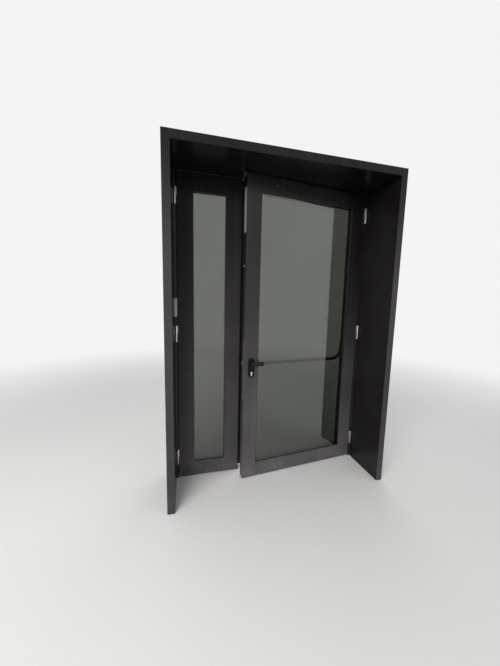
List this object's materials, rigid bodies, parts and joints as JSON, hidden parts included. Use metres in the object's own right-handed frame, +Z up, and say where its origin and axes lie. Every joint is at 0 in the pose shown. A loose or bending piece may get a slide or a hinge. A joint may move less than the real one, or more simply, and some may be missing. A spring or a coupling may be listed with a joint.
{
  "type": "glass entrance door",
  "caption": "Unequal double glazed entrance door in a frame with a deep folded portal, with lever handle, mortise lock, slide bolts and an inside push bar.",
  "frame": {"origin": "on the floor, midway along the portal's width and the whole depth", "axes": "+X along the wall to the active leaf's hinges, +Y into the building, +Z up"},
  "size_m": [1.636, 0.4977, 2.33],
  "materials": {
    "portal_sheet": "dark bronze powder coat, satin",
    "frame_profile": "dark bronze powder coat, satin",
    "leaf_profile": "dark bronze powder coat, satin",
    "glazing_bead": "dark bronze powder coat, satin",
    "glass": "clear float glass, faintly green",
    "spacer": "grey anodised",
    "gasket": "matt black",
    "seal": "matt black",
    "brush": "black pile",
    "setting_block": "plain",
    "hinge_silver": "silver anodised",
    "hinge_pin": "ground",
    "edge_plate": "brushed, a little marked",
    "bolt_steel": "nickel plated",
    "lock_steel": "zinc plated",
    "cylinder_nickel": "satin nickel",
    "handle_black": "gloss black",
    "screw_black": "black",
    "bar_black": "satin black",
    "eye_black": "satin black",
    "housing_black": "satin black",
    "contact_box": "mid grey",
    "bumper": "pale grey",
    "plug": "pale grey"
  },
  "bodies": {
    "frame_and_portal": {"portal_jamb_left": "portal_sheet", "portal_jamb_right": "portal_sheet", "portal_head": "portal_sheet", "frame_jamb_left": "frame_profile", "frame_jamb_right": "frame_profile", "frame_head": "frame_profile", "frame_seal": "seal", "hinge_frame_halves_left": "hinge_silver", "hinge_frame_halves_right": "hinge_silver", "hinge_pins_left": "hinge_pin", "hinge_pins_right": "hinge_pin", "slide_bolt_keep": "edge_plate", "contact_box": "contact_box"},
    "passive_leaf": {"passive_hinge_stile": "leaf_profile", "passive_meeting_stile": "leaf_profile", "passive_top_rail": "leaf_profile", "passive_bottom_rail": "leaf_profile", "passive_glass_panes": "glass", "passive_glass_spacer": "spacer", "passive_glazing_gaskets": "gasket", "passive_glazing_beads": "glazing_bead", "passive_setting_blocks": "setting_block", "passive_bottom_brush": "brush", "passive_meeting_seal": "seal", "passive_hinge_halves": "hinge_silver", "strike_plate": "edge_plate", "top_bolt_plate": "edge_plate", "bottom_bolt_plate": "edge_plate"},
    "active_leaf": {"active_hinge_stile": "leaf_profile", "active_lock_stile": "leaf_profile", "active_top_rail": "leaf_profile", "active_bottom_rail": "leaf_profile", "active_glass_panes": "glass", "active_glass_spacer": "spacer", "active_glazing_gaskets": "gasket", "active_glazing_beads": "glazing_bead", "active_setting_blocks": "setting_block", "active_bottom_brush": "brush", "active_hinge_halves": "hinge_silver", "lock_case": "lock_steel", "lock_faceplate": "edge_plate", "upper_faceplate": "edge_plate", "lock_cylinder": "cylinder_nickel", "handle_backplate": "handle_black", "backplate_screws": "screw_black", "push_bar_lock_housing": "housing_black", "push_bar_hinge_housing": "housing_black", "push_bar_axles": "lock_steel", "edge_bumper": "bumper", "rail_plug": "plug"},
    "lever": {"outside_lever": "handle_black", "lever_spindle": "lock_steel", "lock_follower": "lock_steel"},
    "latch": {"latch_bolt": "bolt_steel"},
    "cylinder_plug": {"cylinder_plug": "cylinder_nickel"},
    "deadbolt": {"dead_bolt": "bolt_steel"},
    "push_bar": {"push_bar_tube": "bar_black", "push_bar_eyes": "eye_black"},
    "top_slide_bolt": {"top_slide_bolt": "bolt_steel"},
    "bottom_slide_bolt": {"bottom_slide_bolt": "bolt_steel"}
  },
  "joints": [
    {"name": "active_leaf_swing", "type": "hinge", "parent": "frame_and_portal", "child": "active_leaf", "pos_m": [0.758, 0.095, 1.142], "axis": [0, 0, 1], "range_deg": [-6.76, 83.24]},
    {"name": "passive_leaf_swing", "type": "hinge", "parent": "frame_and_portal", "child": "passive_leaf", "pos_m": [-0.758, 0.095, 1.142], "axis": [0, 0, -1], "range_deg": [0, 85]},
    {"name": "lever_turn", "type": "hinge", "parent": "active_leaf", "child": "lever", "pos_m": [-0.21684, -0.01149, 0.933], "axis": [-0.1177, 0.993, 0], "range_deg": [0, 40], "stiffness_Nm_per_rad": 1.2, "springref_deg": -34.38},
    {"name": "latch_slide", "type": "slide", "parent": "active_leaf", "child": "latch", "axis": [0.993, 0.1177, 0], "range_m": [0, 0.011]},
    {"name": "key_turn", "type": "hinge", "parent": "active_leaf", "child": "cylinder_plug", "pos_m": [-0.21684, -0.01149, 0.861], "axis": [-0.1177, 0.993, 0], "range_deg": [0, 360]},
    {"name": "deadbolt_slide", "type": "slide", "parent": "active_leaf", "child": "deadbolt", "axis": [-0.993, -0.1177, 0], "range_m": [0, 0.02]},
    {"name": "push_bar_push", "type": "hinge", "parent": "active_leaf", "child": "push_bar", "pos_m": [-0.22838, 0.08583, 1.02], "axis": [-0.993, -0.1177, 0], "range_deg": [0, 15], "stiffness_Nm_per_rad": 3, "springref_deg": -28.65},
    {"name": "top_slide_bolt_slide", "type": "slide", "parent": "passive_leaf", "child": "top_slide_bolt", "axis": [0, 0, 1], "range_m": [0, 0.02]},
    {"name": "bottom_slide_bolt_slide", "type": "slide", "parent": "passive_leaf", "child": "bottom_slide_bolt", "axis": [0, 0, -1], "range_m": [0, 0.009]}
  ],
  "couplings": [
    {"joint": "latch_slide", "follows": "lever_turn", "m_per_rad": 0.015613},
    {"joint": "key_turn", "follows": "deadbolt_slide", "rad_per_m": 314}
  ]
}
